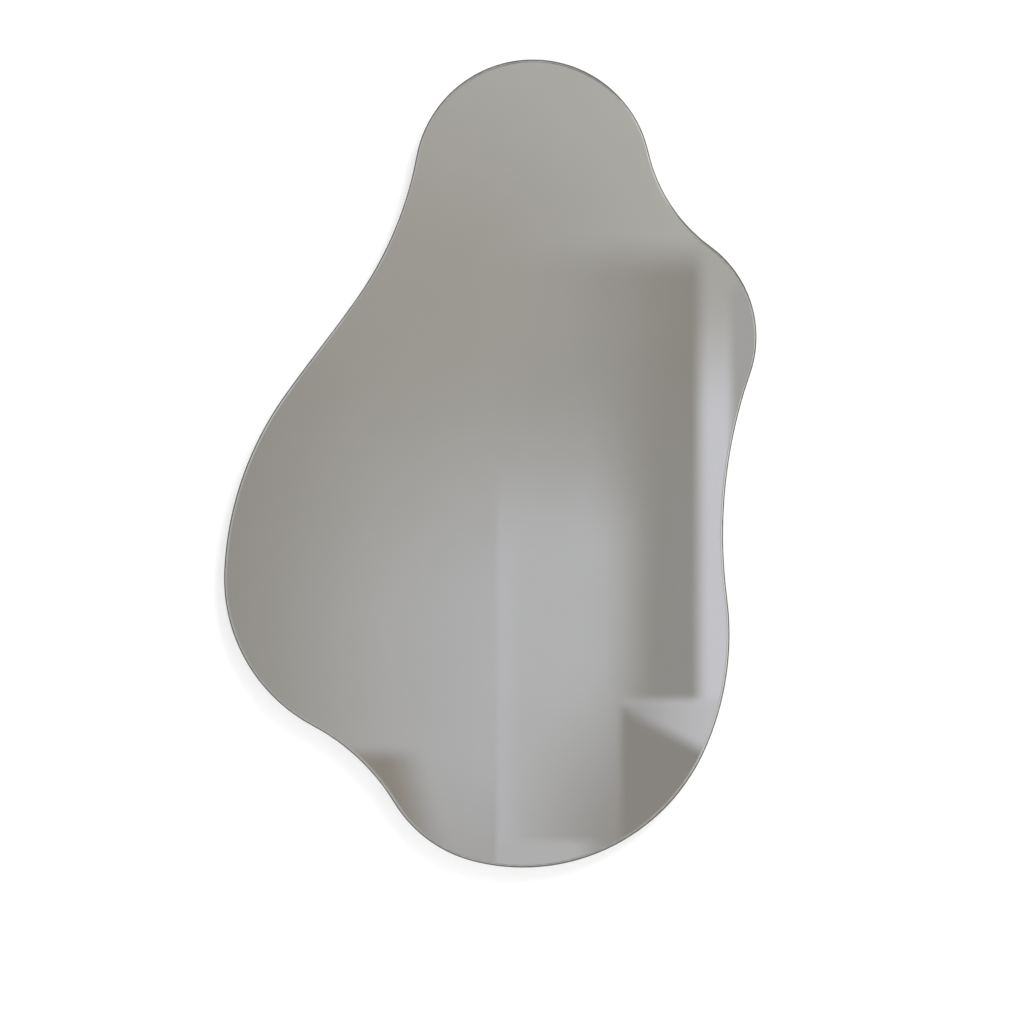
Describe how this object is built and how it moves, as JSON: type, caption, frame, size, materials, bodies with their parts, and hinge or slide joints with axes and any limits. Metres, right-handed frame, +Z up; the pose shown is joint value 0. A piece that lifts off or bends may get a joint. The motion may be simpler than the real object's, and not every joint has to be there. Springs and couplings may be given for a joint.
{
  "type": "wall mirror",
  "caption": "Frameless wall mirror with an irregular outline of rounded lobes and hollows, on a smaller backing board with hinged D-ring hangers.",
  "frame": {"origin": "on the wall plane, midway between the two points where the wall hooks bear in the upright D rings", "axes": "+Z up, +Y out of the mirror's back into the wall, +X to the right as one looks at the glass, which faces -Y"},
  "size_m": [0.593, 0.0204, 0.9],
  "materials": {
    "glass": "polished float glass, ground and polished edge",
    "silver": "silvered",
    "film": "matte dark film",
    "board": "medium-density fibreboard, sealed",
    "tape": "white foam tape",
    "adhesive": "cured mirror adhesive",
    "strap_steel": "zinc plated",
    "ring_steel": "zinc plated wire",
    "screw_steel": "zinc plated",
    "bumper": "soft matte"
  },
  "bodies": {
    "mirror": {"mirror_glass": "glass", "silver_coating": "silver", "backing_film": "film", "backing_board": "board", "tape_top": "tape", "tape_middle": "tape", "tape_left": "tape", "tape_right": "tape", "tape_base": "tape", "glue_top": "adhesive", "glue_neck": "adhesive", "glue_left": "adhesive", "glue_middle": "adhesive", "glue_right": "adhesive", "glue_base": "adhesive", "hanger_strap_left": "strap_steel", "hanger_screws_left": "screw_steel", "hanger_strap_right": "strap_steel", "hanger_screws_right": "screw_steel", "side_strap_upper": "strap_steel", "side_screws_upper": "screw_steel", "side_strap_lower": "strap_steel", "side_screws_lower": "screw_steel", "bumper_top": "bumper", "bumper_right": "bumper", "bumper_left": "bumper", "bumper_low_left": "bumper", "bumper_low_right": "bumper"},
    "ring_left": {"hanger_ring_left": "ring_steel"},
    "ring_right": {"hanger_ring_right": "ring_steel"},
    "side_ring_upper": {"side_ring_upper": "ring_steel"},
    "side_ring_lower": {"side_ring_lower": "ring_steel"}
  },
  "joints": [
    {"name": "hanger_ring_left_swing", "type": "hinge", "parent": "mirror", "child": "ring_left", "pos_m": [-0.12, -0.00289, -0.01475], "axis": [-1, 0, 0], "range_deg": [0, 170]},
    {"name": "hanger_ring_right_swing", "type": "hinge", "parent": "mirror", "child": "ring_right", "pos_m": [0.12, -0.00289, -0.01475], "axis": [-1, 0, 0], "range_deg": [0, 170]},
    {"name": "side_ring_upper_swing", "type": "hinge", "parent": "mirror", "child": "side_ring_upper", "pos_m": [0.17525, -0.00289, -0.055], "axis": [0, 0, 1], "range_deg": [0, 170]},
    {"name": "side_ring_lower_swing", "type": "hinge", "parent": "mirror", "child": "side_ring_lower", "pos_m": [0.17525, -0.00289, -0.295], "axis": [0, 0, 1], "range_deg": [0, 170]}
  ]
}
